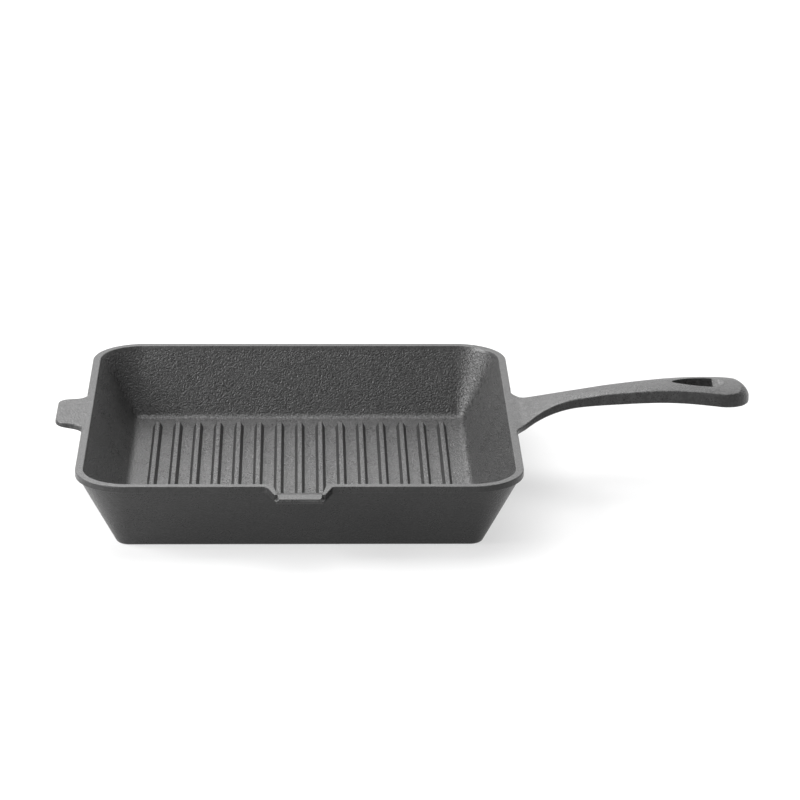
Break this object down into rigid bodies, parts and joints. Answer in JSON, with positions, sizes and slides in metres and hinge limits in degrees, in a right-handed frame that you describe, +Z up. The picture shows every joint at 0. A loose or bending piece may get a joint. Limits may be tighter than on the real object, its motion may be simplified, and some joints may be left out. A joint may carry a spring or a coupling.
{
  "type": "grill pan",
  "caption": "Square cast iron grill pan with flared walls, parallel raised ribs, a pour spout, a helper tab and a raised handle with a teardrop hang hole.",
  "frame": {"origin": "centre of the floor's flat underside, on which the pan stands", "axes": "+X along the handle and away from the pan, +Y towards the back wall and away from the pour spout, +Z up"},
  "size_m": [0.4298, 0.2843, 0.0654],
  "materials": {
    "body_iron": "fine pebbled seasoned surface",
    "rib_iron": "fine pebbled seasoned surface, a little smoother on top",
    "grip_iron": "smoother seasoned surface"
  },
  "bodies": {
    "root": {"floor_plate": "body_iron", "grill_rib_01": "rib_iron", "grill_rib_02": "rib_iron", "grill_rib_03": "rib_iron", "grill_rib_04": "rib_iron", "grill_rib_05": "rib_iron", "grill_rib_06": "rib_iron", "grill_rib_07": "rib_iron", "grill_rib_08": "rib_iron", "grill_rib_09": "rib_iron", "grill_rib_10": "rib_iron", "grill_rib_11": "rib_iron", "grill_rib_12": "rib_iron", "grill_rib_13": "rib_iron", "grill_rib_14": "rib_iron", "grill_rib_15": "rib_iron", "front_wall": "body_iron", "back_wall": "body_iron", "left_wall": "body_iron", "right_wall": "body_iron", "front_left_corner": "body_iron", "front_right_corner": "body_iron", "back_left_corner": "body_iron", "back_right_corner": "body_iron", "pour_spout": "body_iron", "helper_tab": "grip_iron", "handle_root": "grip_iron", "handle_shank": "grip_iron", "handle_eye": "grip_iron"}
  },
  "joints": []
}
